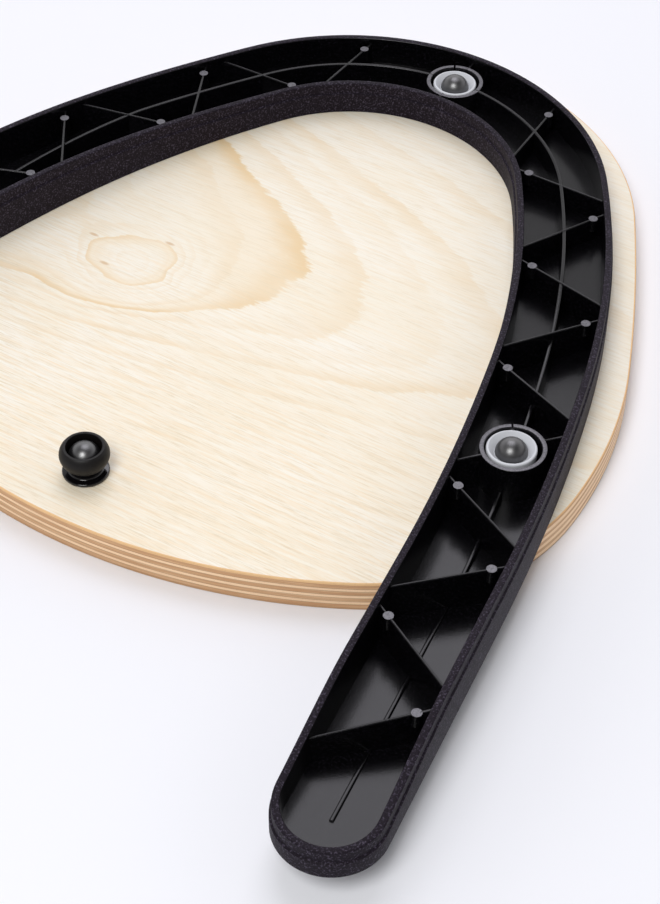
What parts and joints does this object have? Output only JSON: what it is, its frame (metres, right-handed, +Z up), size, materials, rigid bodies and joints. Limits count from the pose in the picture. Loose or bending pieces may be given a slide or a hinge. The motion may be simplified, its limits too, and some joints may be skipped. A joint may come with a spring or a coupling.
{
  "type": "balance board",
  "caption": "Plywood board, underside up, with a ribbed horseshoe rocker frame screwed to it and a rubber-ringed front stud.",
  "frame": {"origin": "middle of the footprint on the standing face, which lies down as in the picture", "axes": "+Z up from the standing face to the underside, +Y from the front to the rear, +X to the board's right as seen from above the underside"},
  "size_m": [0.3966, 0.4543, 0.0376],
  "materials": {
    "birch_plywood": "clear lacquered birch plywood, satin",
    "moulded_plastic": "black injection moulded plastic, lightly grained",
    "grey_nylon": "light grey nylon, satin",
    "black_head": "smooth black, glossy",
    "black_gloss": "smooth black, glossy",
    "rubber": "matt black rubber",
    "steel": "zinc plated steel"
  },
  "bodies": {
    "root": {"deck": "birch_plywood", "under_frame": "moulded_plastic", "frame_bush_right": "grey_nylon", "frame_sleeve_right": "steel", "frame_screw_right": "black_head", "frame_insert_right": "steel", "frame_bush_left": "grey_nylon", "frame_sleeve_left": "steel", "frame_screw_left": "black_head", "frame_insert_left": "steel", "frame_bush_rear": "grey_nylon", "frame_sleeve_rear": "steel", "frame_screw_rear": "black_head", "frame_insert_rear": "steel", "stud_base": "black_gloss", "stud_grommet": "rubber", "stud_screw": "black_head", "stud_insert": "steel"}
  },
  "joints": []
}
